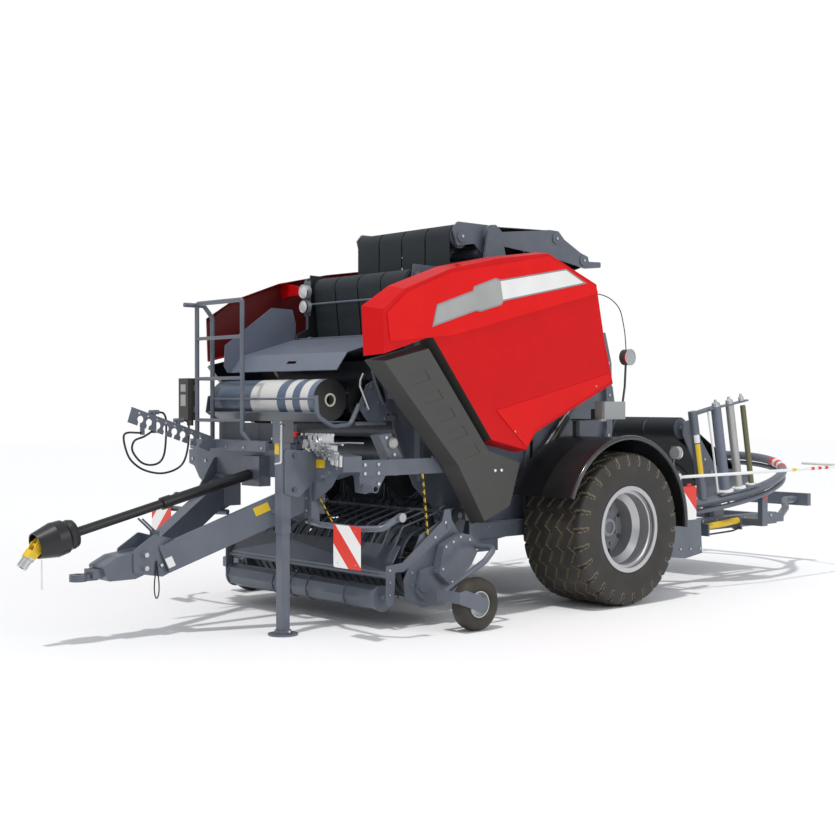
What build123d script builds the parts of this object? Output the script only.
from build123d import *
from math import atan2, cos, degrees, hypot, pi, radians, sin
import os

os.makedirs("parts", exist_ok=True)

# Round baler with a rear bale wrapper. Millimetres.
# +X is the machine's left, -Y its direction of travel, +Z up. The ground is z = 0 and the origin
# lies under the middle of the machine's length and width.

# ---------------------------------------------------------------- driving sizes
axle_y = 395.0
tyre_radius = 597.0
tyre_width = 620.0
wheel_x = 1065.0
rim_seat_radius = 286.0
rim_width = 550.0
stub_radius = 45.0
shaft_gap = 0.3              # radial gap of a shaft or pin in its bore
seat_gap = 0.3               # gap between pieces that rest on each other
run_gap = 8.0                # least gap beside a moving piece

chamber_half = 620.0         # inner face of the bale chamber's side plates
wall = 8.0                   # chamber side plate
belt_count = 4
belt_width = 262.0
belt_pitch = 276.0
belt_thickness = 8.0

panel_in = 960.0             # side panel: inner edge of its front and top faces
panel_out = 1090.0           # side panel: outer face
panel_skin = 6.0

jack_x = 615.0
jack_y = -2348.0
jack_sleeve_side = 76.0
jack_leg_side = 66.0
jack_play = 0.8              # leg in its sleeve, each side

eye_y = -3545.0
eye_z = 430.0
eye_bore = 50.0
yoke_bore = 35.0

pto_start = (0.0, -2199.3, 1058.0)
pto_end = (0.0, -3775.0, 675.0)

reel_y = -1290.0
reel_z = 430.0
band_radius = 262.0
pickup_half = 960.0
band_count = 21

rotor_y = -880.0
rotor_z = 740.0
rotor_reach = 205.0
rotor_shaft = 30.0

fender_in = 742.0
beam_x = (640.0, 720.0)       # lower side beam, inner and outer face
outer_beam_x = (860.0, 940.0)  # upper side beam

gauge_x = 1350.0
gauge_y = -1250.0
gauge_radius = 185.0
gauge_width = 130.0
gauge_plate_x = 1437.0        # outer face of the plate that holds the stub axle

crop_roller_y = -1710.0
crop_roller_z = 215.0
crop_roller_radius = 90.0
crop_roller_half = 905.0

board_x, board_y, board_z = 1160.0, -2230.0, 630.0
board_side = 282.0

ring_y = 2435.0
ring_z = 826.0
ring_radius = 1150.0
ring_tube = 40.0
ring_tilt = 11.0

table_front = (1900.0, 1340.0)
table_rear = (2740.0, 860.0)
table_roller_radius = 92.0
table_half = 690.0



# ---------------------------------------------------------------- shared shapes
def rod(points, radius, bend=0.0, mode=Mode.ADD):
    """A round bar through the points, bent with tangent arcs, in the open part."""
    with BuildLine() as route:
        if bend:
            FilletPolyline(*points, radius=bend)
        else:
            Polyline(*points)
    with BuildSketch(Plane(origin=route.line @ 0, z_dir=route.line % 0)) as section:
        Circle(radius)
    sweep(section.sketch, path=route.line, mode=mode)


def plate(plane, outline, thickness, corner=0.0, holes=(), mode=Mode.ADD):
    """A flat plate in the open part: its outline and holes (x, y, radius) in the plane's axes."""
    with BuildSketch(plane) as face:
        with BuildLine():
            Polyline(*outline, close=True)
        make_face()
        if corner:
            fillet(face.vertices(), corner)
        for x, y, radius in holes:
            with Locations((x, y)):
                Circle(radius, mode=Mode.SUBTRACT)
    extrude(face.sketch, amount=thickness, mode=mode)


def block(low, high, mode=Mode.ADD):
    """A box between two corners in the open part."""
    centre = tuple((a + b) / 2 for a, b in zip(low, high))
    size = tuple(b - a for a, b in zip(low, high))
    with Locations(centre):
        Box(*size, mode=mode)


def drum(start, end, radius, mode=Mode.ADD):
    """A cylinder from one centre to the other in the open part."""
    run = Vector(*end) - Vector(*start)
    with BuildSketch(Plane(origin=start, z_dir=run)) as disc:
        Circle(radius)
    extrude(disc.sketch, amount=run.length, mode=mode)


def side_on(x):
    """The upright plane at x whose own axes are Y and Z."""
    return Plane.YZ.offset(x)


def turned(centre, profile, mode=Mode.ADD):
    """A body of revolution about the X line through the centre: profile is (x, radius) points."""
    plane = Plane(origin=centre, x_dir=(1, 0, 0), z_dir=(0, -1, 0))
    with BuildSketch(plane) as section:
        with BuildLine():
            Polyline(*profile, close=True)
        make_face()
    revolve(section.sketch, axis=Axis(centre, (1, 0, 0)), mode=mode)


def finish(piece, name):
    """Labels a sub-part and writes its STEP file."""
    piece.part.label = name
    export_step(piece.part, f"parts/{name}.step")


# ---------------------------------------------------------------- road wheels
axle_z = tyre_radius
wheel_centre = (wheel_x, axle_y, axle_z)
half_tyre = tyre_width / 2
half_rim = rim_width / 2
rim_flange = rim_seat_radius + 24
disc_x = 5.0                 # wheel disc, from the tyre's middle
hub_radius = 95.0

with BuildPart() as left_tyre:
    with BuildSketch(Plane(origin=wheel_centre, x_dir=(1, 0, 0), z_dir=(0, -1, 0))) as carcass:
        with BuildLine():
            crown = Polyline((-half_tyre + 42, tyre_radius - 6), (0, tyre_radius),
                             (half_tyre - 42, tyre_radius - 6))
            ThreePointArc(crown @ 1, (half_tyre - 12, tyre_radius - 26), (half_tyre - 6, tyre_radius - 62))
            ThreePointArc((half_tyre - 6, tyre_radius - 62), (half_tyre, tyre_radius - 160),
                          (half_rim + 4, rim_flange + 3))
            Polyline((half_rim + 4, rim_flange + 3), (half_rim - 22, rim_flange + 3),
                     (half_rim - 22, rim_seat_radius + seat_gap), (half_rim - 52,
                                                                   rim_seat_radius + seat_gap))
            ThreePointArc((half_rim - 52, rim_seat_radius + seat_gap), (half_tyre - 26, tyre_radius - 160),
                          (half_tyre - 60, tyre_radius - 52))
            Line((half_tyre - 60, tyre_radius - 52), (-half_tyre + 60, tyre_radius - 52))
            ThreePointArc((-half_tyre + 60, tyre_radius - 52), (-half_tyre + 26, tyre_radius - 160),
                          (-half_rim + 52, rim_seat_radius + seat_gap))
            Polyline((-half_rim + 52, rim_seat_radius + seat_gap),
                     (-half_rim + 22, rim_seat_radius + seat_gap),
                     (-half_rim + 22, rim_flange + 3), (-half_rim - 4, rim_flange + 3))
            ThreePointArc((-half_rim - 4, rim_flange + 3), (-half_tyre, tyre_radius - 160),
                          (-half_tyre + 6, tyre_radius - 62))
            ThreePointArc((-half_tyre + 6, tyre_radius - 62), (-half_tyre + 12, tyre_radius - 26), crown @ 0)
        make_face()
    revolve(carcass.sketch, axis=Axis(wheel_centre, (1, 0, 0)))

with BuildPart() as left_rim:
    rim_wall = 9.0
    outer = [(-half_rim, rim_flange), (-half_rim + 14, rim_flange), (-half_rim + 20, rim_seat_radius),
             (-half_rim + 70, rim_seat_radius), (-half_rim + 100, rim_seat_radius - 46),
             (half_rim - 150, rim_seat_radius - 46), (half_rim - 110, rim_seat_radius),
             (half_rim - 20, rim_seat_radius), (half_rim - 14, rim_flange), (half_rim, rim_flange)]
    inner = [(x, radius - rim_wall - (14 if radius == rim_flange else 0)) for x, radius in reversed(outer)]
    turned(wheel_centre, outer + inner)
    turned(wheel_centre, [(disc_x - 6, stub_radius + shaft_gap), (disc_x - 6, rim_seat_radius - 50),
                          (disc_x + 8, rim_seat_radius - 50), (disc_x + 8, stub_radius + shaft_gap)])
    turned(wheel_centre, [(disc_x - 130, stub_radius + shaft_gap), (disc_x - 130, hub_radius),
                          (disc_x + 60, hub_radius), (disc_x + 84, hub_radius - 26),
                          (disc_x + 84, stub_radius + shaft_gap)])
    with Locations(Location((wheel_x + disc_x, axle_y, axle_z), (0, 90, 0))):
        with PolarLocations(167, 10):
            Cylinder(13, 46)
        with PolarLocations(212, 8, start_angle=22.5):
            Cylinder(20, 60, mode=Mode.SUBTRACT)

with BuildPart() as right_tyre:
    mirror(left_tyre.part, about=Plane.YZ)
with BuildPart() as right_rim:
    mirror(left_rim.part, about=Plane.YZ)

stub_end = wheel_x + disc_x + 78
for piece, name in ((left_tyre, "tyre_left"), (left_rim, "rim_left"), (right_tyre, "tyre_right"),
                    (right_rim, "rim_right")):
    finish(piece, name)

# ---------------------------------------------------------------- drawbar and hitch
beam_depth = 190.0
beam_width = 90.0
beam_front = (95.0, -2960.0, 515.0)
beam_rear = (520.0, -2090.0, 925.0)
cross_front, cross_back = -2100.0, -1940.0
cross_bottom, cross_top = 1040.0, 1240.0
cross_half, cross_end = 700.0, 960.0

with BuildPart() as drawbar:
    run = Vector(*beam_rear) - Vector(*beam_front)
    with BuildSketch(Plane(origin=beam_front, z_dir=run, x_dir=(run.Y, -run.X, 0))) as section:
        Rectangle(beam_width, beam_depth)
    extrude(section.sketch, amount=run.length + 60)
    mirror(about=Plane.YZ)
    # nose box that ties the two beams, with the hitch's bolting cheeks
    cheek = [(-3200, 590), (-3040, 690), (-2860, 640), (-2860, 450), (-2980, 400), (-3200, 440)]
    cheek_bolts = [(-3120, 560, 16), (-3120, 470, 16), (-2990, 600, 16), (-2990, 480, 16)]
    for x in (-112, 100):
        plate(side_on(x), cheek, 12, corner=24, holes=cheek_bolts)
    block((-100, -3000, 440), (100, -2880, 600))
    # upright box columns that carry the beams up to the cross beam
    for side in (1, -1):
        block((side * 520 - 60, -2120, 800), (side * 520 + 60, -1960, 1040))
        plate(side_on(side * 520 - 66), [(-2330, 820), (-2120, 1160), (-1960, 1160), (-1960, 800),
                                         (-2080, 740)], 12)
    # cross beam, tapered towards its ends, and the gusset below each end
    plate(Plane(origin=(0, cross_back, 0), x_dir=(1, 0, 0), z_dir=(0, -1, 0)),
          [(-cross_end, cross_bottom + 65), (-cross_half, cross_bottom), (cross_half, cross_bottom),
           (cross_end, cross_bottom + 65), (cross_end, cross_top - 30), (cross_half, cross_top),
           (-cross_half, cross_top), (-cross_end, cross_top - 30)], cross_back - cross_front)
    for side in (1, -1):
        plate(Plane(origin=(0, cross_front + 14, 0), x_dir=(side, 0, 0), z_dir=(0, -side, 0)),
              [(570, 870), (700, 925), (820, 1000), (900, 1098), (570, 1098)], side * 12)
    # prop of the drive shaft
    for x in (-28, 28):
        rod([(x, -2975, 690), (x, -3085, 790)], 7)
        drum((x - 6, -2975, 690), (x + 6, -2975, 690), 18)
    block((-36, -2992, 598), (36, -2958, 706))
    # bumper tube with the brackets of the boards
    for side in (1, -1):
        rod([(side * 500, -2050, 748), (side * 760, -2140, 746), (side * 1200, -2170, 748),
             (side * 1345, -2080, 754),
             (side * 1352, -1930, 830)], 21, 60)
        block((side * 600 - 20, -2110, 735), (side * 600 + 20, -2040, 1040))
        block((side * board_x - 30, board_y + 4, board_z - 60), (side * board_x + 30, -2160, board_z + 130))
    # gearbox the drive shaft runs into
    block((-110, -2190, 975), (110, -2090, 1190))

with BuildPart() as hitch_eye:
    # cheek tongue between the plates, then the forged shank and the ring
    plate(side_on(-100 + seat_gap), [(-3420, 500), (-3300, 560), (-3060, 590), (-3060, 440), (-3180, 400),
                                     (-3380, 400)],
          200 - 2 * seat_gap, corner=18)
    block((-60, -3470, 420), (60, -3400, 480))
    with Locations((0, eye_y + 60, eye_z)):
        Box(70, 130, 45)
    with Locations((0, eye_y, eye_z)):
        Cylinder(eye_bore / 2 + 33, 45)
        Cylinder(eye_bore / 2, 60, mode=Mode.SUBTRACT)
    for y, z, radius in cheek_bolts[:2]:
        drum((-150, y, z), (150, y, z), radius - shaft_gap)

for piece, name in ((drawbar, "drawbar"), (hitch_eye, "hitch_eye")):
    finish(piece, name)

# ---------------------------------------------------------------- parking jack
jack_top = 1460.0
jack_sleeve_end = 690.0

with BuildPart() as jack_sleeve:
    half = jack_sleeve_side / 2
    block((jack_x - half, jack_y - half, jack_sleeve_end), (jack_x + half, jack_y + half, jack_top - 60))
    inner = jack_leg_side / 2 + jack_play
    block((jack_x - inner, jack_y - inner, jack_sleeve_end - 1),
          (jack_x + inner, jack_y + inner, jack_top - 70),
          mode=Mode.SUBTRACT)
    # head plate with the crank's gearbox, and the bracket that clamps the sleeve to the beam
    block((jack_x - half - 14, jack_y - half - 8, jack_top - 160),
          (jack_x + half + 14, jack_y + half + 14, jack_top))
    block((jack_x - inner, jack_y - inner, jack_top - 161), (jack_x + inner, jack_y + inner, jack_top - 70),
          mode=Mode.SUBTRACT)
    plate(Plane.YZ.offset(jack_x + half), [(jack_y - 20, 960), (jack_y + half + 60, 930),
                                           (cross_front - 0.3, 1050),
                                           (cross_front - 0.3, 1235), (jack_y - 20, 1262)], 10, corner=20)
    for z in (1215, 985):
        drum((jack_x + half + 10, jack_y + 62, z), (jack_x + half + 26, jack_y + 62, z), 17)
    # crank
    rod([(jack_x + 40, jack_y - 12, jack_top - 40), (jack_x + 66, jack_y - 60, jack_top - 40),
         (jack_x + 66, jack_y - 62, jack_top - 290), (jack_x + 66, jack_y - 110, jack_top - 296)], 8, 12)

with BuildPart() as jack_leg:
    half = jack_leg_side / 2
    block((jack_x - half, jack_y - half, 26), (jack_x + half, jack_y + half, 1000))
    with Locations((jack_x, jack_y, 6)):
        Cylinder(102, 12)
    with Locations((jack_x, jack_y, 22)):
        Cylinder(58, 24)
    rod([(jack_x - 75, jack_y, 30), (jack_x + 75, jack_y, 30)], 9)

for piece, name in ((jack_sleeve, "jack_sleeve"), (jack_leg, "jack_leg")):
    finish(piece, name)

# ---------------------------------------------------------------- drive shaft to the tractor
pto_run = Vector(*pto_end) - Vector(*pto_start)
pto_dir = pto_run.normalized()


def along_shaft(distance):
    """A point on the drive shaft, measured back from its front end."""
    return tuple(Vector(*pto_end) - pto_dir * distance)


with BuildPart() as pto_guard:
    drum(along_shaft(150), along_shaft(900), 31)
    drum(along_shaft(900), pto_start, 38)
    drum(along_shaft(880), along_shaft(950), 44)
    # bell-shaped end guard, open at the front
    bell = [(31, -215), (92, -205), (100, -175), (96, -150), (112, -130), (116, -60), (86, 70),
            (78, 70), (106, -58), (102, -122), (84, -140), (31, -150)]
    with BuildSketch(Plane(origin=pto_end, x_dir=(1, 0, 0),
                           z_dir=Vector(1, 0, 0).cross(pto_dir))) as section:
        with BuildLine():
            Polyline(*bell, close=True)
        make_face()
    revolve(section.sketch, axis=Axis(pto_end, pto_dir))

with BuildPart() as pto_yoke:
    drum(along_shaft(149.7), along_shaft(40), 24)
    drum(along_shaft(60), along_shaft(-40), 40)
    yoke_tip = Vector(*pto_end) + pto_dir * 60
    drop = Vector(0, -0.62, -0.78)
    drum(tuple(yoke_tip - Vector(48, 0, 0)), tuple(yoke_tip + Vector(48, 0, 0)), 15)
    for x in (-44, 32):
        plate(Plane(origin=Vector(x, 0, 0) + Vector(0, yoke_tip.Y, yoke_tip.Z), x_dir=(0, 1, 0),
                    z_dir=(1, 0, 0)),
              [(90, 60), (120, -10), (30, -30), (-40, -90), (-70, -70), (-20, 20), (30, 60)], 12, corner=10)
    drum(tuple(yoke_tip + drop * 50), tuple(yoke_tip + drop * 105), 42)
    drum(tuple(yoke_tip + drop * 100), tuple(yoke_tip + drop * 170), 34)
    drum(tuple(yoke_tip + drop * 70), tuple(yoke_tip + drop * 180), yoke_bore / 2, mode=Mode.SUBTRACT)

for piece, name in ((pto_guard, "pto_guard"), (pto_yoke, "pto_yoke")):
    finish(piece, name)

# ---------------------------------------------------------------- bale chamber, front half
chamber_front = [(52, 2400), (-250, 2560), (-1180, 2590), (-1200, 2440), (-1200, 2160),
                 (-1312, 2112), (-1312, 2045), (-1250, 1960), (-1500, 1760),
                 (-1330, 1280), (-1180, 960), (-1000, 800), (-960, 640), (52, 640)]
pivot_y, pivot_z = 60.0, 2330.0      # tailgate pivot
pivot_radius = 30.0
panel_hinge_x, panel_hinge_z = 745.0, 2470.0
panel_hinge_radius = 12.0
panel_hinge_y = (-1130.0, -160.0)    # middles of the two hinges
cover_hinge_y, cover_hinge_z = -1290.0, 2075.0
cylinder_x = 695.0
cylinder_base_y, cylinder_base_z = -150.0, 900.0

# roller: (y, z, radius)
rollers = {
    "arm_front": (-655, 2835, 88), "front_top": (-1105, 2465, 88), "front_low": (-1050, 1990, 88),
    "inner": (-655, 2330, 88), "arm_top": (400, 2900, 60), "arm_rear": (730, 2745, 50),
}
front_drums = ((-1420, 1760, 85), (-1350, 1575, 85), (-1265, 1400, 85), (-1180, 1225, 85), (-430, 720, 80))
arm_in, arm_thick = 566.0, 16.0
hub_y, hub_z, hub_radius_arm = -356.0, 2866.0, 78.0

with BuildPart() as chamber_walls:
    out = chamber_half + wall
    plate(side_on(chamber_half), chamber_front, wall)
    drum((out, rotor_y, rotor_z), (out + 22, rotor_y, rotor_z), 64)
    drum((chamber_half - 1, rotor_y, rotor_z), (out + 23, rotor_y, rotor_z), rotor_shaft + shaft_gap,
         mode=Mode.SUBTRACT)
    block((out, -20, 700), (out + 22, 20, 2240))
    block((out, -640, 700), (out + 60, -600, 2520))
    block((out, -1174, 1000), (out + 60, -1134, 2530))
    block((out, -1140, 1560), (out + 60, -20, 1600))
    plate(side_on(out), [(-520, 2440), (-180, 2440), (-290, 2900), (-356, 2945), (-430, 2900)], 20,
          corner=18)
    for y in panel_hinge_y:
        for edge in (-32, 20):
            plate(Plane.XZ.offset(-(y + edge + 12)),
                  [(out, 2380), (out, 2510), (panel_hinge_x + 16, panel_hinge_z + 18),
                   (panel_hinge_x + 16, panel_hinge_z - 18)], 12)
        drum((panel_hinge_x, y - 34, panel_hinge_z), (panel_hinge_x, y + 34, panel_hinge_z),
             panel_hinge_radius)
    drum((chamber_half - 10, pivot_y, pivot_z), (chamber_half + wall + 44, pivot_y, pivot_z), pivot_radius)
    drum((out, pivot_y, pivot_z), (out + 3, pivot_y, pivot_z), 62)
    # base pin of the tailgate cylinder
    block((out, cylinder_base_y - 60, cylinder_base_z - 60), (out + 20, -10, cylinder_base_z + 60))
    drum((out + 18, cylinder_base_y, cylinder_base_z), (cylinder_x - 21, cylinder_base_y, cylinder_base_z),
         30)
    drum((cylinder_x - 25, cylinder_base_y, cylinder_base_z),
         (cylinder_x + 21, cylinder_base_y, cylinder_base_z), 18)
    block((chamber_half - 10, -100, 2260), (out, 52, 2400))
    mirror(about=Plane.YZ)
    # hinge rod of the net cover, and the bracket of the work lamps with its cross rod
    drum((-chamber_half, cover_hinge_y, cover_hinge_z), (chamber_half, cover_hinge_y, cover_hinge_z),
         7 - shaft_gap)
    block((-634, -1223, 2290), (-606, -1205, 2560))
    block((-648, -1223, 2262), (-560, -1215, 2540))
    block((-634, -1210, 2520), (-626, -1150, 2560))
    rod([(-610, -1214, 2352), (624, -1214, 2352)], 9)
    block((616, -1223, 2330), (628, -1190, 2374))

with BuildPart() as belt_rollers:
    for y, z, radius in rollers.values():
        drum((-belt_count * belt_pitch / 2 - 4, y, z), (belt_count * belt_pitch / 2 + 4, y, z), radius)
    for name in ("front_top", "front_low", "inner"):
        y, z, radius = rollers[name]
        drum((-chamber_half, y, z), (chamber_half, y, z), 25)
    for name in ("arm_front", "arm_top", "arm_rear"):
        y, z, radius = rollers[name]
        drum((-arm_in, y, z), (arm_in, y, z), 22)
    for y, z, radius in front_drums:
        drum((-chamber_half + 4, y, z), (chamber_half - 4, y, z), radius)
        drum((-chamber_half, y, z), (chamber_half, y, z), 24)

with BuildPart() as belts:
    loops = (("arm_front", "arm_top", "arm_rear", "inner"), ("front_top", "front_low"))
    for loop in loops:
        for index in range(belt_count):
            x = (index - (belt_count - 1) / 2) * belt_pitch - belt_width / 2
            with BuildSketch(side_on(x)) as strip:
                with BuildSketch(mode=Mode.PRIVATE) as outer_hull:
                    for name in loop:
                        y, z, radius = rollers[name]
                        with Locations((y, z)):
                            Circle(radius + belt_thickness)
                    make_hull()
                with BuildSketch(mode=Mode.PRIVATE) as inner_hull:
                    for name in loop:
                        y, z, radius = rollers[name]
                        with Locations((y, z)):
                            Circle(radius)
                    make_hull()
                add(outer_hull.sketch)
                add(inner_hull.sketch, mode=Mode.SUBTRACT)
            extrude(strip.sketch, amount=belt_width)

with BuildPart() as tension_arm:
    front_arm = [(-740, 2890), (-690, 2945), (-356, 2944), (-300, 2800), (-420, 2700), (-520, 2790),
                 (-700, 2760)]
    rear_arm = [(-356, 2944), (-250, 2900), (330, 2965), (430, 2962), (500, 2900), (700, 2805), (790, 2780),
                (800, 2740), (950, 2745), (950, 2700), (760, 2680), (300, 2750), (-300, 2800)]
    plate(side_on(arm_in), front_arm, arm_thick, corner=14)
    plate(side_on(arm_in), rear_arm, arm_thick, corner=14)
    drum((arm_in, hub_y, hub_z), (chamber_half + wall - 2, hub_y, hub_z), hub_radius_arm)
    for y, z, radius in (rollers["arm_front"], rollers["arm_top"], rollers["arm_rear"]):
        drum((arm_in, y, z), (arm_in + 26, y, z), 46)
    mirror(about=Plane.YZ)
    rod([(-arm_in - 4, -420, 2720), (arm_in + 4, -420, 2720)], 40)

for piece, name in ((chamber_walls, "chamber_walls"), (belt_rollers, "belt_rollers"), (belts, "belts"),
                    (tension_arm, "tension_arm")):
    finish(piece, name)

# ---------------------------------------------------------------- main frame
with BuildPart() as main_frame:
    # axle with its stubs
    block((-830, axle_y - 65, axle_z - 65), (830, axle_y + 65, axle_z + 65))
    for side in (1, -1):
        drum((side * 825, axle_y, axle_z), (side * stub_end, axle_y, axle_z), stub_radius)
        drum((side * 825, axle_y, axle_z), (side * (wheel_x + disc_x - 130 - run_gap), axle_y, axle_z), 80)
        block((side * 708 - 12, axle_y - 150, axle_z - 40), (side * 708 + 12, axle_y + 150, 900))
    # long side beams from the cross beam back to the axle
    for side in (1, -1):
        low, high = sorted(side * x for x in outer_beam_x)
        block((low, cross_back, 1070), (high, -640, 1180))
        low, high = sorted(side * x for x in beam_x)
        block((low, -700, 540), (high, 1180, 660))
        low, high = sorted((side * 700, side * 780))
        block((low, -760, 520), (high, -660, 1060))
        low, high = sorted((side * 700, side * outer_beam_x[0]))
        block((low, -760, 1060), (high, -660, 1180))
        # slanted box, and the sleeve of the pickup's lifting shaft below the beam
        plate(side_on(side * 830 - 50), [(-1720, 1345), (-1610, 1360), (-1440, 1075), (-1560, 1062)], 100)
        plate(side_on(side * 900 - 30), [(-1940, 1075), (-1700, 1075), (-1760, 985), (-1880, 950),
                                         (-1925, 960)], 60)
        low, high = sorted((side * 870, side * 1060))
        drum((low, -1900, 990), (high, -1900, 990), 27)
        drum((low - 1, -1900, 990), (high + 1, -1900, 990), 20, mode=Mode.SUBTRACT)
    block((-700, -640, 560), (700, -540, 639.7))
    block((-780, 1110, 540), (780, 1180, 660))
    # knife bed under the rotor
    block((-700, -760, 440), (700, -380, 540))
    # outriggers that carry the fenders and the lower side panels
    for side in (1, -1):
        low, high = sorted((side * beam_x[1] - side * 15, side * (fender_in - seat_gap)))
        block((low, 340, 540), (high, 450, 1290))
        # arm and stub that the pickup swings on
        low, high = sorted((side * 700, side * 780))
        block((low, rotor_y - 45, rotor_z - 45), (high, -660, rotor_z + 45))
        drum((side * 780, rotor_y, rotor_z), (side * 806, rotor_y, rotor_z), 22)
        low, high = sorted((side * (chamber_half + wall), side * 1083.7))
        block((low, -1430, 1600), (high, -1390, 1640))
        low, high = sorted((side * 780, side * 1083.7))
        block((low, -780, 1090), (high, -740, 1130))
        low, high = sorted((side * 628, side * 780))
        block((low, -760, 1000), (high, -660, 1060))

finish(main_frame, "main_frame")

# ---------------------------------------------------------------- net store: rolls, cradle and cover
net_radius = 147.0
net_y, net_z = -1927.0, 1592.0
spare_y, spare_z = -1622.0, 1586.4
net_half_left, net_half_right = 594.0, 700.0
core_radius = 40.0
cradle_x = 640.0

with BuildPart() as net_rolls:
    for y, z in ((net_y, net_z), (spare_y, spare_z)):
        drum((-net_half_right, y, z), (net_half_left, y, z), net_radius)
        drum((net_half_left - 60, y, z), (net_half_left, y, z), core_radius, mode=Mode.SUBTRACT)

with BuildPart() as net_cradle:
    # trough under both rolls with its end plates
    with BuildSketch(side_on(-720)) as trough:
        with BuildLine():
            Polyline((-2090, 1500), (-1980, 1438), (-1700, 1431), (-1500, 1431), (-1440, 1560),
                     (-1448, 1564),
                     (-1506, 1439), (-1700, 1439), (-1978, 1446), (-2086, 1507), close=True)
        make_face()
    extrude(trough.sketch, amount=720 + cradle_x)
    plate(side_on(-728), [(-2100, 1500), (-1980, 1425), (-1500, 1425), (-1430, 1560), (-1470, 1760),
                          (-1800, 1700),
                          (-2080, 1620)], 8)
    # tube hoop round the left end of the front roll, and the thin bar across it
    rod([(cradle_x + 20, -2100, 1622), (cradle_x + 20, -2090, 1480), (cradle_x + 20, -1950, 1405),
         (cradle_x + 20, -1800, 1418), (cradle_x + 20, -1720, 1560)], 17, 74)
    rod([(-582, -2118, 1600), (cradle_x + 20, -2100, 1600)], 8)
    plate(side_on(cradle_x), [(-1640, 1700), (-1560, 1740), (-1440, 1500), (-1500, 1425), (-1620, 1425),
                              (-1720, 1540)],
          10, corner=10)
    block((cradle_x - 10, -1760, 1412), (cradle_x + 30, -1480, 1434))
    # brackets that hang the trough on the chamber's side plates
    block((chamber_half + wall + seat_gap, -1500, 1440), (cradle_x + 10, -1370, 1480))
    block((-728, -1470, 1440), (-chamber_half - wall - seat_gap, -1442, 1480))
    block((-650, -1460, 1440), (-chamber_half - wall - seat_gap, -1370, 1480))
    rod([(cradle_x + 17, -1600, 1800), (cradle_x + 17, -1570, 1720), (cradle_x + 17, -1500, 1560)], 9, 40)

with BuildPart() as net_cover:
    sheet = 5.0
    profile = [(-1910, 1800), (-1815, 1925), (-1322, 2064), (-1322, 2064 + sheet), (-1817, 1925 + sheet),
               (-1914, 1800 + sheet)]
    with BuildSketch(side_on(-660)) as fold:
        with BuildLine():
            Polyline(*profile, close=True)
        make_face()
    extrude(fold.sketch, amount=1310)
    plate(side_on(-665), [(-1975, 1850), (-1965, 2010), (-1530, 2315), (-1330, 2310), (-1296, 2200),
                          (-1300, 2070),
                          (-1815, 1925), (-1905, 1800), (-1940, 1800)], sheet + 1)
    with Locations(Plane(origin=(60, -1862, 1862), x_dir=(1, 0, 0), z_dir=(0, -0.8, 0.6))):
        Box(110, 26, 60, mode=Mode.SUBTRACT)
    for x in (-500, 460):
        block((x, -1330, 2062), (x + 40, -1299, 2072))
        drum((x, cover_hinge_y, cover_hinge_z), (x + 40, cover_hinge_y, cover_hinge_z), 13)
        drum((x - 1, cover_hinge_y, cover_hinge_z), (x + 41, cover_hinge_y, cover_hinge_z), 7,
             mode=Mode.SUBTRACT)

for piece, name in ((net_rolls, "net_rolls"), (net_cradle, "net_cradle"), (net_cover, "net_cover")):
    finish(piece, name)

# ---------------------------------------------------------------- platform, railing and hose stand
deck_z = 1300.0
rail_front_y = -2250.0
rail_x = (-607.0, -10.0)
rail_top = 2310.0

with BuildPart() as platform:
    block((-640, -2270, deck_z - 30), (60, -2110, deck_z))
    block((-640, -2290, deck_z - 70), (330, -2262, deck_z + 4))
    for x in (-600, 0, 280):
        block((x, -2264, 1240.3), (x + 40, -2010, deck_z - 28))
    block((-640, -2060, 1240.3), (390, -2010, 1290))
    # railing: front frame, side frame, and the tabs of the control box
    left_x, right_x = rail_x[1], rail_x[0]
    rod([(right_x, rail_front_y, deck_z - 60), (right_x, rail_front_y, rail_top),
         (left_x, rail_front_y, rail_top), (left_x, rail_front_y, deck_z + 60),
         (left_x + 60, rail_front_y + 20, deck_z - 10)], 17, 26)
    for z in (2048, 1750, 1443):
        rod([(right_x + 10, rail_front_y, z), (left_x - 10, rail_front_y, z)], 13)
    rod([(right_x, rail_front_y - 110, rail_top - 12), (right_x, rail_front_y + 60, rail_top - 12),
         (right_x, rail_front_y + 135, rail_top - 100), (right_x, rail_front_y + 135, deck_z - 10)], 17, 40)
    rod([(right_x, rail_front_y + 10, 1750), (right_x, rail_front_y + 130, 1750)], 13)
    for z in (1520, 1680):
        block((-639.7, -2260, z - 20), (right_x, -2240, z + 20))

with BuildPart() as control_box:
    block((-770, -2310, 1440), (-640, -2240, 1755))
    block((-700, -2282, 1400), (-640, -2262, 1440))

# hose stand: a slotted arm reaching forwards over the drawbar
stand_x = -300.0
stand_rear, stand_front = (-2322.0, 1269.0), (-2990.0, 1490.0)
stand_dir = Vector(0, stand_front[0] - stand_rear[0], stand_front[1] - stand_rear[1]).normalized()
slot_count = 8

couplers = ((-2790.0, 1500.0), (-2590.0, 1440.0))   # y, z of the two hose couplings
# hoses: each hangs in one plane, from a clip under the blade round to its coupling
hose_radius = 7.5
hose_routes = {
    "hose_inner": [(-2800, 1372), (-2867, 1335), (-2943, 1306), (-2960, 1240), (-2900, 1162), (-2826, 1134),
                   (-2748, 1148), (-2706, 1206), (-2690, 1330), (-2690, 1450), (-2710, 1496), (-2749.7,
                                                                                               1506)],
    "hose_outer": [(-2894, 1361), (-3001, 1363), (-3028, 1328), (-3005, 1230), (-2962, 1162), (-2873, 1102),
                   (-2741, 1072), (-2621, 1092), (-2545, 1147), (-2508, 1260), (-2500, 1390), (-2515, 1437),
                   (-2549.7, 1446)],
}

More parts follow.
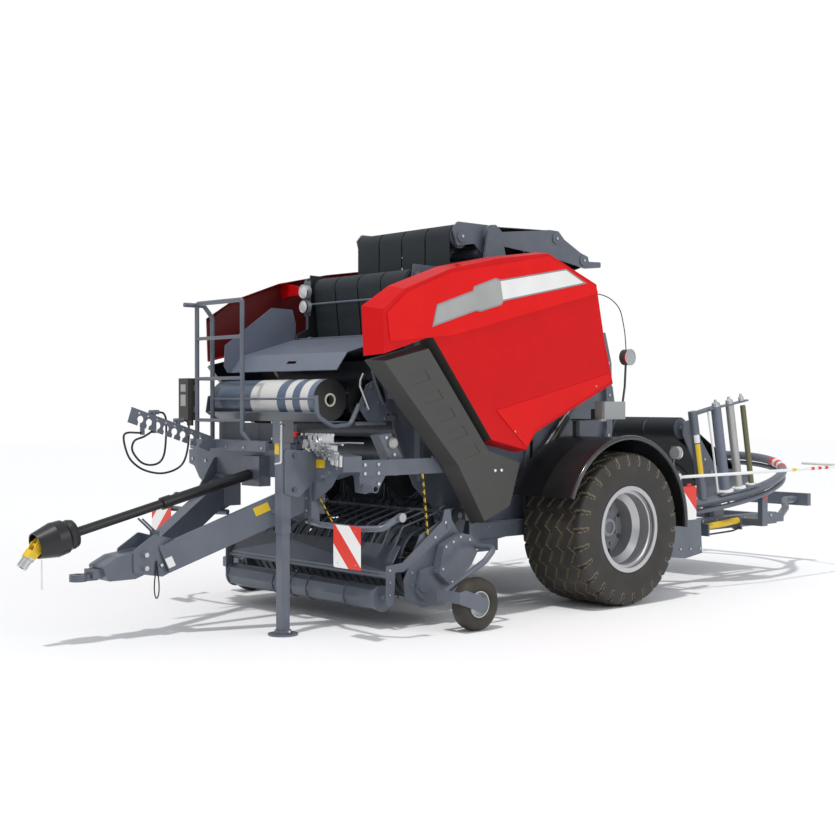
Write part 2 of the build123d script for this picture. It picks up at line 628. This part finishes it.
with BuildPart() as hose_stand:
    stand_plane = Plane(origin=(stand_x, *stand_rear), x_dir=stand_dir, z_dir=(-1, 0, 0))
    stand_length = hypot(stand_front[0] - stand_rear[0], stand_front[1] - stand_rear[1])
    with BuildSketch(stand_plane) as blade:
        with Locations((stand_length / 2, 0)):
            Rectangle(stand_length, 110)
        with Locations(*[(110 + index * 72, -6) for index in range(slot_count)]):
            Circle(25, mode=Mode.SUBTRACT)
        with Locations(*[(110 + index * 72, -36) for index in range(slot_count)]):
            Rectangle(22, 44, mode=Mode.SUBTRACT)
    extrude(blade.sketch, amount=8)
    with BuildSketch(stand_plane) as lip:
        with Locations((stand_length / 2, 52)):
            Rectangle(stand_length, 8)
    extrude(lip.sketch, amount=13)
    block((stand_x - 20, -2340, 1240), (stand_x, -2290.3, 1300))
    for route in hose_routes.values():
        y, z = route[0]
        block((stand_x - 32, y + seat_gap, z - 14), (stand_x, y + 20, z + 70))
    for y, z in couplers:
        drum((stand_x - 22, y, z - 50), (stand_x - 22, y, z + 20), 17)
        drum((stand_x - 22, y, z + 6), (stand_x - 22, y + 40, z + 6), 16)
        drum((stand_x - 22, y, z + 6), (stand_x - 22, y - 34, z + 6), 15)

for piece, name in ((platform, "platform"), (control_box, "control_box"), (hose_stand, "hose_stand")):
    finish(piece, name)

# ---------------------------------------------------------------- valve block and hoses beside the drawbar
with BuildPart() as valve_block:
    block((400, -2060, 1240.3), (720, -1960, 1300))
    for index in range(5):
        x = 420 + index * 60
        block((x, -2080, 1250), (x + 44, -1980, 1345))
        drum((x + 22, -2080, 1300), (x + 22, -2110, 1300), 16)
    drum((720, -2010, 1290), (840, -2010, 1290), 11)

finish(valve_block, "valve_block")

# ---------------------------------------------------------------- feed rotor
star_count = 13
with BuildPart() as feed_rotor:
    drum((-chamber_half + 12, rotor_y, rotor_z), (chamber_half - 12, rotor_y, rotor_z), 80)
    drum((-chamber_half - wall - 22, rotor_y, rotor_z), (chamber_half + wall + 22, rotor_y, rotor_z),
         rotor_shaft)
    for index in range(star_count):
        x = -590 + index * 1180 / (star_count - 1)
        with BuildSketch(Plane(origin=(x - 4, rotor_y, rotor_z), x_dir=(0, 1, 0), z_dir=(1, 0, 0))) as star:
            Circle(100)
            with PolarLocations(0, 4, start_angle=index * 17.0):
                with Locations((rotor_reach / 2 + 20, 0)):
                    Trapezoid(100, rotor_reach - 42, 76, rotation=-90)
        extrude(star.sketch, amount=8)

finish(feed_rotor, "feed_rotor")

# ---------------------------------------------------------------- pickup
arm_x = 790.0                # inner face of the arms it swings on
band_width = 62.0
band_pitch = 2 * (pickup_half - 40) / band_count
tine_bar_count = 5
tine_tip = 300.0
guard_pivot_y, guard_pivot_z = -1170.0, 690.0
side_outline = [(-1570, 330), (-1560, 200), (-1400, 130), (-1180, 130), (-1030, 210), (-980, 420),
                (-1000, 560),
                (-1110, 730), (-1230, 730), (-1420, 640)]

with BuildPart() as pickup_frame:
    plate(side_on(pickup_half), side_outline, 10, corner=24)
    # chain case and gearbox outside the plate
    plate(side_on(pickup_half + 10), [(-1266, 565), (-1089, 640), (-1000, 622), (-917, 527), (-994, 412),
                                      (-1180, 262),
                                      (-1311, 366)], 82, corner=22)
    drum((pickup_half + 10, -1400, 300), (pickup_half + 50, -1400, 300), 62)
    plate(side_on(pickup_half + 10), [(-1470, 240), (-1440, 400), (-1300, 420), (-1200, 300), (-1230, 210),
                                      (-1400, 180)], 26, corner=20)
    drum((pickup_half + 10, guard_pivot_y, guard_pivot_z),
         (pickup_half + 36, guard_pivot_y, guard_pivot_z), 18)
    # arm back and up to the pivot on the frame
    plate(side_on(arm_x), [(-1090, 190), (-985, 190), (-900, 420), (-820, 700), (-830, 790), (-930, 800),
                           (-1010, 600), (-1060, 400)], 12, corner=20,
          holes=[(rotor_y, rotor_z, 22 + shaft_gap)])
    mirror(about=Plane.YZ)
    block((-pickup_half, -1070, 170), (pickup_half, -1000, 215))
    # stripper bands, each a loop round the tine reel
    for index in range(band_count):
        x = -pickup_half + 40 + band_pitch * (index + 0.5) - band_width / 2
        with BuildSketch(side_on(x)) as loop:
            with BuildLine():
                top = Line((-1000, 560), (reel_y - 40, reel_z + band_radius - 3))
                ThreePointArc(top @ 1, (reel_y - band_radius, reel_z),
                              (reel_y - 40, reel_z - band_radius + 3))
                Polyline((reel_y - 40, reel_z - band_radius + 3), (-1040, 182), (-1040, 190),
                         (reel_y - 40, reel_z - band_radius + 11))
                ThreePointArc((reel_y - 40, reel_z - band_radius + 11), (reel_y - band_radius + 8, reel_z),
                              (reel_y - 40, reel_z + band_radius - 11))
                Polyline((reel_y - 40, reel_z + band_radius - 11), (-1000, 552), top @ 0)
            make_face()
        extrude(loop.sketch, amount=band_width)
    plate(side_on(-pickup_half), [(-1010, 550), (-985, 542), (-985, 552), (-1010, 562)], 2 * pickup_half)
    # gauge wheel carriers: a bent tube inside the wheel, a bar round its front, a plate and stub outside
    for side in (1, -1):
        tube_x = side * (gauge_x - gauge_width / 2 - 50)
        front = gauge_y - gauge_radius - 18
        rod([(side * (pickup_half + 60), -950, 540), (tube_x, -945, 540), (tube_x, -1040, 455),
             (tube_x, front - 10, 250)],
            22, 45)
        low, high = sorted((tube_x - side * 26, side * gauge_plate_x))
        block((low, front - 24, 212), (high, front, 288))
        plate(side_on(min(side * gauge_plate_x, side * (gauge_plate_x - 12))),
              [(front - 24, 212), (front - 24, 288), (front + 40, 300), (gauge_y + 40, 225),
               (gauge_y + 40, 150),
               (gauge_y - 30, 140)], 12, corner=14)
        drum((side * (gauge_x - 52), gauge_y, gauge_radius),
             (side * (gauge_plate_x - 2), gauge_y, gauge_radius), 12)

with BuildPart() as pickup_reel:
    drum((-pickup_half + 16, reel_y, reel_z), (pickup_half - 16, reel_y, reel_z), 45)
    drum((-pickup_half + seat_gap, reel_y, reel_z), (pickup_half - seat_gap, reel_y, reel_z), 24)
    for index in range(band_count + 1):
        x = -pickup_half + 40 + band_pitch * index
        for bar_index in range(tine_bar_count):
            angle = bar_index * 2 * pi / tine_bar_count + 0.3
            foot = Vector(x, reel_y + 160 * cos(angle), reel_z + 160 * sin(angle))
            tip = Vector(x, reel_y + (tine_tip - 3) * cos(angle + 0.12),
                         reel_z + (tine_tip - 3) * sin(angle + 0.12))
            with BuildSketch(Plane(origin=foot, x_dir=(1, 0, 0), z_dir=tip - foot)) as tine:
                RegularPolygon(4.5, 6)
            extrude(tine.sketch, amount=(tip - foot).length)
    for bar_index in range(tine_bar_count):
        angle = bar_index * 2 * pi / tine_bar_count + 0.3
        y, z = reel_y + 165 * cos(angle), reel_z + 165 * sin(angle)
        drum((-pickup_half + 20, y, z), (pickup_half - 20, y, z), 16)
    for x in (-pickup_half + 18, -320, 300, pickup_half - 26):
        with BuildSketch(side_on(x)) as spider:
            with Locations((reel_y, reel_z)):
                Circle(195)
                Circle(44, mode=Mode.SUBTRACT)
        extrude(spider.sketch, amount=8)

# crop guard: a frame that swings on the pickup, with rods over the bands and the roller in front
rail_y, rail_z = -1700.0, 372.0
rod_count = 15

with BuildPart() as crop_guard:
    arm_outline = [(-1128, 700), (-1150, 812), (-1205, 812), (-1228, 730), (-1600, 462), (-1745, 452),
                   (-1745, 190),
                   (-1715, 165), (-1680, 190), (-1668, 402), (-1590, 400), (-1165, 655)]
    plate(side_on(pickup_half + 22), arm_outline, 10, corner=10,
          holes=[(guard_pivot_y, guard_pivot_z, 18 + shaft_gap)])
    drum((crop_roller_half + 40, crop_roller_y, crop_roller_z),
         (pickup_half + 24, crop_roller_y, crop_roller_z), 16)
    mirror(about=Plane.YZ)
    rod([(-pickup_half - 26, rail_y, rail_z), (pickup_half + 26, rail_y, rail_z)], 19)
    rod([(-pickup_half - 26, -1180, 790), (pickup_half + 26, -1180, 790)], 13)
    for index in range(rod_count):
        x = (index - (rod_count - 1) / 2) * 128
        rod([(x, rail_y, rail_z + 6), (x, -1520, 700), (x, -1182, 789)], 8, 60)
    # wind plate behind the rail
    plate(side_on(-pickup_half + 10), [(-1710, rail_z + 4), (-1702, rail_z + 4), (-1592, 556), (-1584, 572),
                                       (-1592, 577), (-1712, rail_z + 30)], 2 * pickup_half - 20)

with BuildPart() as crop_roller:
    with BuildSketch(side_on(-crop_roller_half)) as octagon:
        with Locations((crop_roller_y, crop_roller_z)):
            RegularPolygon(crop_roller_radius - 4, 8)
    extrude(octagon.sketch, amount=2 * crop_roller_half)
    for x in (-crop_roller_half, -300, -80, 120, 560, crop_roller_half - 12):
        drum((x, crop_roller_y, crop_roller_z), (x + 12, crop_roller_y, crop_roller_z), crop_roller_radius)
    for side in (1, -1):
        drum((side * crop_roller_half, crop_roller_y, crop_roller_z),
             (side * (crop_roller_half + 40 - seat_gap), crop_roller_y, crop_roller_z), 22)

for piece, name in ((pickup_frame, "pickup_frame"), (pickup_reel, "pickup_reel"), (crop_guard, "crop_guard"),
                    (crop_roller, "crop_roller")):
    finish(piece, name)

gauge_rim_radius = 92.0
with BuildPart() as gauge_tyre_left:
    half = gauge_width / 2
    with BuildSketch(Plane(origin=(gauge_x, gauge_y, gauge_radius), x_dir=(1, 0, 0),
                           z_dir=(0, -1, 0))) as carcass:
        with BuildLine():
            Polyline((-half + 20, gauge_rim_radius + seat_gap), (half - 20, gauge_rim_radius + seat_gap))
            ThreePointArc((half - 20, gauge_rim_radius + seat_gap), (half, gauge_radius - 50),
                          (half - 20, gauge_radius - 8))
            ThreePointArc((half - 20, gauge_radius - 8), (0, gauge_radius), (-half + 20, gauge_radius - 8))
            ThreePointArc((-half + 20, gauge_radius - 8), (-half, gauge_radius - 50),
                          (-half + 20, gauge_rim_radius + seat_gap))
        make_face()
    revolve(carcass.sketch, axis=Axis((gauge_x, gauge_y, gauge_radius), (1, 0, 0)))

with BuildPart() as gauge_rim_left:
    centre = (gauge_x, gauge_y, gauge_radius)
    turned(centre, [(-half + 16, gauge_rim_radius), (half - 16, gauge_rim_radius),
                    (half - 16, gauge_rim_radius - 8),
                    (-half + 16, gauge_rim_radius - 8)])
    turned(centre, [(-4, 12 + shaft_gap), (-4, gauge_rim_radius - 7), (2, gauge_rim_radius - 7),
                    (2, 12 + shaft_gap)])
    turned(centre, [(-45, 12 + shaft_gap), (-45, 34), (50, 34), (50, 12 + shaft_gap)])

with BuildPart() as gauge_tyre_right:
    mirror(gauge_tyre_left.part, about=Plane.YZ)
with BuildPart() as gauge_rim_right:
    mirror(gauge_rim_left.part, about=Plane.YZ)

for piece, name in ((gauge_tyre_left, "gauge_tyre_left"), (gauge_rim_left, "gauge_rim_left"),
                    (gauge_tyre_right, "gauge_tyre_right"), (gauge_rim_right, "gauge_rim_right")):
    finish(piece, name)

# ---------------------------------------------------------------- fenders, rear plates and boards
fender_radius = 700.0
fender_skin = 7.0
fender_out = 1352.0
fender_start, fender_end = 158.0, -2.0      # degrees from straight back, over the top

with BuildPart() as fender_left:
    with BuildSketch(side_on(fender_in)) as arch:
        with BuildLine():
            outer_arc = CenterArc((axle_y, axle_z), fender_radius + fender_skin, fender_end,
                                  fender_start - fender_end)
            inner_arc = CenterArc((axle_y, axle_z), fender_radius, fender_end, fender_start - fender_end)
            Line(outer_arc @ 0, inner_arc @ 0)
            Line(outer_arc @ 1, inner_arc @ 1)
        make_face()
    extrude(arch.sketch, amount=fender_out - fender_in)
    # inner side wall of the wheel arch and the tube along the outer edge
    with BuildSketch(side_on(fender_in)) as inside:
        with BuildLine():
            CenterArc((axle_y, axle_z), fender_radius + 3, 20, 120)
            Line((axle_y + (fender_radius + 3) * cos(radians(140)),
                  axle_z + (fender_radius + 3) * sin(radians(140))),
                 (axle_y + (fender_radius + 3) * cos(radians(20)),
                  axle_z + (fender_radius + 3) * sin(radians(20))))
        make_face()
    extrude(inside.sketch, amount=5)
    with BuildLine() as edge:
        CenterArc((axle_y, axle_z), fender_radius + 5, fender_end, fender_start - fender_end)
    edge_wire = Plane.YZ.offset(fender_out) * edge.line
    with BuildSketch(Plane(origin=edge_wire @ 0, z_dir=edge_wire % 0)) as round_edge:
        Circle(19)
    sweep(round_edge.sketch, path=edge_wire)
with BuildPart() as fender_right:
    mirror(fender_left.part, about=Plane.YZ)

with BuildPart() as boards:
    for side in (1, -1):
        low, high = sorted((side * (board_x - board_side / 2), side * (board_x + board_side / 2)))
        block((low, board_y, board_z - board_side / 2), (high, board_y + 3.7, board_z + board_side / 2))
        low, high = sorted((side * 1105.3, side * 1109))
        block((low, 1295, 590), (high, 1500, 590 + board_side))

with BuildPart() as lamps:
    for side in (1, -1):
        # ends of the front bumper, posts of the safety bars, tail bumper
        drum((side * 1373.4, -1950, 822), (side * 1397, -1950, 822), 30)
        drum((side * 1200, 1150, 1161), (side * 1200, 1189.7, 1161), 50)
        drum((side * 580, 3936.3, 620), (side * 580, 3945, 620), 50)
    # the pair that looks forward above the belts
    for z in (2453, 2335):
        drum((-598, -1223.3, z), (-598, -1266, z), 52)

for piece, name in ((fender_left, "fender_left"), (fender_right, "fender_right"), (boards, "boards"),
                    (lamps, "lamps")):
    finish(piece, name)

# ---------------------------------------------------------------- hoses
for name, route in hose_routes.items():
    with BuildPart() as hose:
        with BuildLine() as path:
            Spline(*[(stand_x - 22, y, z) for y, z in route], tangents=((0, -1, 0), (0, -1, 0)),
                   tangent_scalars=(1, 1))
        with BuildSketch(Plane(origin=path.line @ 0, z_dir=path.line % 0)) as round_hose:
            Circle(hose_radius)
        sweep(round_hose.sketch, path=path.line)
    finish(hose, name)

# ---------------------------------------------------------------- side panels
upper_outline = [(-1926, 1890), (-1943, 2228), (-1700, 2380), (-1250, 2540), (-760, 2640), (-241, 2713),
                 (328, 2505),
                 (436, 2064), (546, 1710), (-360, 1330), (-466, 1200), (-845, 1280), (-1420, 2010)]
upper_face = [(-1850, 1905), (-1860, 2205), (-1668, 2352), (-1235, 2518), (-760, 2622), (-241, 2696),
              (310, 2492),
              (406, 2064), (510, 1722), (-372, 1350), (-472, 1222), (-832, 1302), (-1412, 2038)]
lower_outline = [(-1919, 1862), (-1426, 1980), (-851, 1252), (-508, 1150), (-624, 791), (-915, 690),
                 (-1200, 1114)]
lower_face = [(-1850, 1852), (-1446, 1948), (-865, 1226), (-540, 1128), (-646, 815), (-905, 718),
              (-1165, 1130)]
louvre_rows = 5


def panel_shell(outline, face):
    """A hollow panel in the open part: rim outline at its inner edge, face outline outside."""
    with BuildSketch(side_on(panel_in)) as rim:
        with BuildLine():
            Polyline(*outline, close=True)
        make_face()
    with BuildSketch(side_on(panel_out)) as front:
        with BuildLine():
            Polyline(*face, close=True)
        make_face()
    loft(sections=[rim.sketch.face(), front.sketch.face()], ruled=True)
    with BuildSketch(side_on(panel_in - 1)) as inner_rim:
        with BuildLine():
            Polyline(*outline, close=True)
        make_face()
        offset(amount=-panel_skin, mode=Mode.REPLACE)
    with BuildSketch(side_on(panel_out - panel_skin)) as inner_front:
        with BuildLine():
            Polyline(*face, close=True)
        make_face()
        offset(amount=-panel_skin, mode=Mode.REPLACE)
    loft(sections=[inner_rim.sketch.face(), inner_front.sketch.face()], ruled=True, mode=Mode.SUBTRACT)


upper_band = [(-1800, 1990), (-1830, 2180), (-1650, 2330), (-1240, 2490), (-241, 2672), (290, 2480),
              (330, 2425),
              (-1236, 2045)]
lower_band = [(-790, 1515), (-478, 1245), (-385, 1370), (480, 1740), (462, 1800)]

with BuildPart() as panel_left:
    panel_shell(upper_outline, upper_face)
    plate(side_on(panel_out - 1), upper_band, 7, corner=12)
    plate(side_on(panel_out - 1), lower_band, 7, corner=8)
    for y in panel_hinge_y:
        arm_plane = Plane(origin=(0, y + 14, 0), x_dir=(1, 0, 0), z_dir=(0, -1, 0))
        plate(arm_plane, [(715, 2450), (720, 2495), (765, 2500), (1060, 2560), (1086, 2500), (1060, 2420),
                          (965, 2440),
                          (770, 2446)], 28, corner=8,
              holes=[(panel_hinge_x, panel_hinge_z, panel_hinge_radius + shaft_gap)])
with BuildPart() as panel_right:
    mirror(panel_left.part, about=Plane.YZ)

with BuildPart() as lower_panels:
    panel_shell(lower_outline, lower_face)
    for row in range(louvre_rows):
        share = row / (louvre_rows - 1)
        y, z = -1500 + 480 * share, 1740 - 520 * share
        plate(side_on(panel_out - 3), [(y - 130, z + 20), (y + 20, z + 62), (y + 72, z - 6),
                                       (y - 84, z - 48)], 3.1,
              mode=Mode.SUBTRACT)
    mirror(about=Plane.YZ)

for piece, name in ((panel_left, "panel_left"), (panel_right, "panel_right"),
                    (lower_panels, "lower_panels")):
    finish(piece, name)

# ---------------------------------------------------------------- tailgate
gate_outline = [(68, 720), (420, 690), (700, 740), (930, 1000), (1000, 1350), (985, 1900), (900, 2180),
                (640, 2410),
                (68, 2410)]
gate_in, gate_wall = 636.0, 8.0
gate_eye_y, gate_eye_z = 700.0, 1750.0

with BuildPart() as tailgate:
    plate(side_on(gate_in), gate_outline, gate_wall, corner=30)
    with BuildSketch(side_on(gate_in)) as ear:
        with Locations((pivot_y, pivot_z)):
            Circle(62)
    extrude(ear.sketch, amount=gate_wall)
    with BuildSketch(side_on(gate_in - 1)) as bore:
        with Locations((pivot_y, pivot_z)):
            Circle(pivot_radius + shaft_gap)
    extrude(bore.sketch, amount=gate_wall + 2, mode=Mode.SUBTRACT)
    # stiffening channel round the outside of the plate, and the rod's stub
    plate(side_on(gate_in + gate_wall), [(840, 1000), (930, 1010), (985, 1350), (970, 1900), (890, 2160),
                                         (830, 2110),
                                         (900, 1880), (915, 1360)], 40, corner=12)
    plate(side_on(gate_in + gate_wall), [(300, 1060), (860, 1080), (860, 1140), (300, 1120)], 30)
    drum((gate_in + gate_wall, gate_eye_y, gate_eye_z), (cylinder_x - 21, gate_eye_y, gate_eye_z), 46)
    mirror(about=Plane.YZ)
    for y, z, radius in ((760, 1400, 30), (930, 1990, 26), (470, 745, 30)):
        drum((-gate_in, y, z), (gate_in, y, z), radius)

gate_rollers = {"low": (560, 850, 78), "rear_low": (860, 1130, 70), "rear": (900, 1500, 60),
                "top": (800, 1960, 78)}
with BuildPart() as gate_belts:
    for y, z, radius in gate_rollers.values():
        drum((-belt_count * belt_pitch / 2 - 4, y, z), (belt_count * belt_pitch / 2 + 4, y, z), radius)
        drum((-gate_in + seat_gap, y, z), (gate_in - seat_gap, y, z), 24)
    for index in range(belt_count):
        x = (index - (belt_count - 1) / 2) * belt_pitch - belt_width / 2
        with BuildSketch(side_on(x)) as strip:
            with BuildSketch(mode=Mode.PRIVATE) as outer_hull:
                for y, z, radius in gate_rollers.values():
                    with Locations((y, z)):
                        Circle(radius + belt_thickness)
                make_hull()
            with BuildSketch(mode=Mode.PRIVATE) as inner_hull:
                for y, z, radius in gate_rollers.values():
                    with Locations((y, z)):
                        Circle(radius)
                make_hull()
            add(outer_hull.sketch)
            add(inner_hull.sketch, mode=Mode.SUBTRACT)
        extrude(strip.sketch, amount=belt_width)

cylinder_run = Vector(0, gate_eye_y - cylinder_base_y, gate_eye_z - cylinder_base_z)
cylinder_dir = cylinder_run.normalized()


def along_cylinder(distance):
    """A point on the left tailgate cylinder, measured from its base pin."""
    return (cylinder_x, cylinder_base_y + cylinder_dir.Y * distance,
            cylinder_base_z + cylinder_dir.Z * distance)


with BuildPart() as cylinder_barrels:
    drum(along_cylinder(44), along_cylinder(780), 38)
    drum(along_cylinder(60), along_cylinder(781), 21, mode=Mode.SUBTRACT)
    drum(along_cylinder(20), along_cylinder(50), 14.5)
    drum((cylinder_x - 15, cylinder_base_y, cylinder_base_z),
         (cylinder_x + 15, cylinder_base_y, cylinder_base_z), 34)
    drum((cylinder_x - 16, cylinder_base_y, cylinder_base_z),
         (cylinder_x + 16, cylinder_base_y, cylinder_base_z),
         18 + shaft_gap, mode=Mode.SUBTRACT)
with BuildPart() as cylinder_rods:
    drum(along_cylinder(120), along_cylinder(cylinder_run.length - 64), 20.7)
    drum(along_cylinder(cylinder_run.length - 70), along_cylinder(cylinder_run.length - 20), 14.5)
    drum((cylinder_x - 15, gate_eye_y, gate_eye_z), (cylinder_x + 15, gate_eye_y, gate_eye_z), 34)

with BuildPart() as barrel_left:
    add(cylinder_barrels.part)
with BuildPart() as barrel_right:
    mirror(cylinder_barrels.part, about=Plane.YZ)
with BuildPart() as rod_left:
    add(cylinder_rods.part)
with BuildPart() as rod_right:
    mirror(cylinder_rods.part, about=Plane.YZ)

for piece, name in ((tailgate, "tailgate"), (gate_belts, "gate_belts"), (barrel_left, "barrel_left"),
                    (barrel_right, "barrel_right"), (rod_left, "rod_left"), (rod_right, "rod_right")):
    finish(piece, name)

# ---------------------------------------------------------------- bale wrapper: beams, table, ring
bar_hinge_x, bar_hinge_y = 1190.0, 1210.0
table_pivot_y, table_pivot_z = 2250.0, 600.0
table_side = 744.0
table_belts = 4
tilt = radians(ring_tilt)
ring_axis = Vector(0, -sin(tilt), cos(tilt))
ring_slope = Vector(0, cos(tilt), sin(tilt))


def on_ring(along, up, x):
    """A point in the ring's tilted axes: back along its slope, up its axis, and across."""
    point = Vector(x, ring_y, ring_z) + ring_slope * along + ring_axis * up
    return (point.X, point.Y, point.Z)


with BuildPart() as wrap_frame:
    for side in (1, -1):
        low, high = sorted((side * 790, side * 870))
        block((low, 1110, 450), (high, 3100, 556))
        low, high = sorted((side * 780.3, side * 792))
        block((low, 1110, 450), (high, 1180, 660))
        # plate that carries the rear board, posts and pins of the safety bars
        plate(side_on(side * 1100 - 5), [(1180, 300), (1190, 640), (1290, 640), (1290, 850), (1500, 850),
                                         (1500, 600), (1630, 590), (1650, 300), (1420, 270)], 10)
        low, high = sorted((side * 800, side * 1105))
        block((low, 1180, 500), (high, 1240, 640))
        low, high = sorted((side * 790, side * 1215))
        block((low, 1190, 880), (high, 1230, 924))
        drum((side * bar_hinge_x, bar_hinge_y, 900), (side * bar_hinge_x, bar_hinge_y, 1010), 12)
        block((side * 810 - 20, 1180, 500), (side * 810 + 20, 1240, 920))
        block((side * 1145 - 14, 1190, 900), (side * 1145 + 14, 1204, 1215))
        block((side * 1180 - 45, 1190, 1130), (side * 1180 + 45, 1204, 1190))
        drum((side * 790, table_pivot_y, table_pivot_z),
             (side * (table_side - 2), table_pivot_y, table_pivot_z), 24)
        block((side * 815 - 25, 2180, 550), (side * 815 + 25, 2320, 650))
    block((-790, 1285, 440), (790, 1355, 514))
    block((-790, 3000, 460), (790, 3080, 540))

with BuildPart() as wrap_table:
    plate(side_on(table_side), [(2160, 540), (2340, 540), (2420, 700), (2830, 830), (2800, 920),
                                (2300, 1010),
                                (1950, 1420), (1850, 1400), (1840, 1290), (2100, 900)], 12, corner=24,
          holes=[(table_pivot_y, table_pivot_z, 24 + shaft_gap)])
    mirror(about=Plane.YZ)
    rod([(-table_side, 2290, 760), (table_side, 2290, 760)], 45)
    for y, z in (table_front, table_rear):
        drum((-table_half, y, z), (table_half, y, z), table_roller_radius)
        drum((-table_side, y, z), (table_side, y, z), 28)

with BuildPart() as table_belts_band:
    pitch = 2 * table_half / table_belts
    for index in range(table_belts):
        x = -table_half + pitch * index + 12
        with BuildSketch(side_on(x)) as strip:
            with BuildSketch(mode=Mode.PRIVATE) as outer_hull:
                for y, z in (table_front, table_rear):
                    with Locations((y, z)):
                        Circle(table_roller_radius + belt_thickness)
                make_hull()
            with BuildSketch(mode=Mode.PRIVATE) as inner_hull:
                for y, z in (table_front, table_rear):
                    with Locations((y, z)):
                        Circle(table_roller_radius)
                make_hull()
            add(outer_hull.sketch)
            add(inner_hull.sketch, mode=Mode.SUBTRACT)
        extrude(strip.sketch, amount=pitch - 24)

with BuildPart() as wrap_ring:
    with BuildSketch(Plane(origin=(ring_radius, ring_y, ring_z), x_dir=(1, 0, 0),
                           z_dir=tuple(ring_slope))) as tube:
        Circle(ring_tube)
    revolve(tube.sketch, axis=Axis((0, ring_y, ring_z), tuple(ring_axis)))

# film unit: roller (radius from the ring's axis, degrees round it, height, radius)
unit_rollers = ((1150, -21, 800, 44), (1155, -14, 790, 36), (1165, -7, 760, 24))
unit_start, unit_end = -25.0, -4.0


def round_ring(radius, angle, up):
    """A point at a radius and an angle round the ring, and a height above it."""
    return on_ring(radius * sin(radians(angle)), up, radius * cos(radians(angle)))


def sector(up, inner, outer, thickness):
    """A flat sector of the film unit in the open part, above the ring."""
    base = Plane(origin=on_ring(0, up, 0), x_dir=(1, 0, 0), z_dir=tuple(ring_axis))
    span = unit_end - unit_start
    with BuildSketch(base) as face:
        with BuildLine():
            near = CenterArc((0, 0), inner, unit_start, span)
            far = CenterArc((0, 0), outer, unit_start, span)
            Line(near @ 0, far @ 0)
            Line(near @ 1, far @ 1)
        make_face()
    extrude(face.sketch, amount=thickness)


with BuildPart() as film_units:
    for turn in (0, 1):
        with BuildPart(mode=Mode.PRIVATE) as unit:
            sector(ring_tube + seat_gap, 1085, 1215, 14)
            sector(790, 1125, 1185, 12)
            for radius, angle, up, size in unit_rollers:
                drum(round_ring(radius, angle, 50), round_ring(radius, angle, up), size)
        add(unit.part.rotate(Axis((0, ring_y, ring_z), tuple(ring_axis)), 180 * turn))

with BuildPart() as ring_frame:
    # support hoop below the ring on saddles, tail bumper and the posts beside the table
    hoop_radius = 22.0
    hoop_drop = ring_tube + hoop_radius + 9
    with BuildSketch(Plane(origin=on_ring(0, -hoop_drop, ring_radius), x_dir=(1, 0, 0),
                           z_dir=tuple(ring_slope))) as hoop:
        Circle(hoop_radius)
    revolve(hoop.sketch, axis=Axis((0, ring_y, ring_z), tuple(ring_axis)))
    # runners on the hoop, that the ring slides on
    for angle in range(20, 360, 40):
        drum(on_ring(ring_radius * sin(radians(angle)), hoop_radius + seat_gap - hoop_drop,
                     ring_radius * cos(radians(angle))),
             on_ring(ring_radius * sin(radians(angle)), -ring_tube - seat_gap,
                     ring_radius * cos(radians(angle))), 12)
    for side in (1, -1):
        low, high = sorted((side * 870.3, side * 1150))
        block((low, 2440, 480), (high, 2520, 540))
        block((side * 830 - 25, 1625, 556.3), (side * 830 + 25, 1685, 592))
        block((side * 1140 - 24, 2440, 480), (side * 1140 + 24, 2520, 765))
        block((side * 830 - 30, 3100.3, 460), (side * 830 + 30, 3230, 540))
        rod([(side * 830, 3200, 500), (side * 700, 3500, 560), (side * 560, 3700, 620),
             (side * 560, 3900, 620)], 34, 60)
    block((-700, 3880, 560), (700, 3936, 680))

for piece, name in ((wrap_frame, "wrap_frame"), (wrap_table, "wrap_table"),
                    (table_belts_band, "table_belts"),
                    (wrap_ring, "wrap_ring"), (film_units, "film_units"), (ring_frame, "ring_frame")):
    finish(piece, name)

# ---------------------------------------------------------------- safety bars
bar_radius = 13.0
with BuildPart() as bar_left:
    rod([(bar_hinge_x, bar_hinge_y + 24, 960), (1340, 2000, 975), (1340, 3000, 980), (1340, 3560, 985),
         (760, 3690, 985)], bar_radius, 180)
    with Locations((bar_hinge_x, bar_hinge_y, 960)):
        Cylinder(26, 60)
        Cylinder(12 + shaft_gap, 62, mode=Mode.SUBTRACT)
with BuildPart() as bar_right:
    mirror(bar_left.part, about=Plane.YZ)
for piece, name in ((bar_left, "bar_left"), (bar_right, "bar_right")):
    finish(piece, name)

# ---------------------------------------------------------------- side box and work lamps
with BuildPart() as side_boxes:
    block((790, 370, axle_z + fender_radius + fender_skin + seat_gap), (830, 410, 1430))
    block((781, 360, 1425.3), (1100, 420, 1442))
    block((1000, 400, 1440), (1100, 650, 1580))
    block((940, 420, 1440), (990, 520, 1520))
    rod([(1090, 630, 1579), (1110, 630, 1700), (1120, 630, 1880)], 9, 30)
    block((1100, 618, 1870), (1128, 642, 1900))
    drum((1118, 612, 1930), (1180, 612, 1930), 62)

finish(side_boxes, "side_boxes")
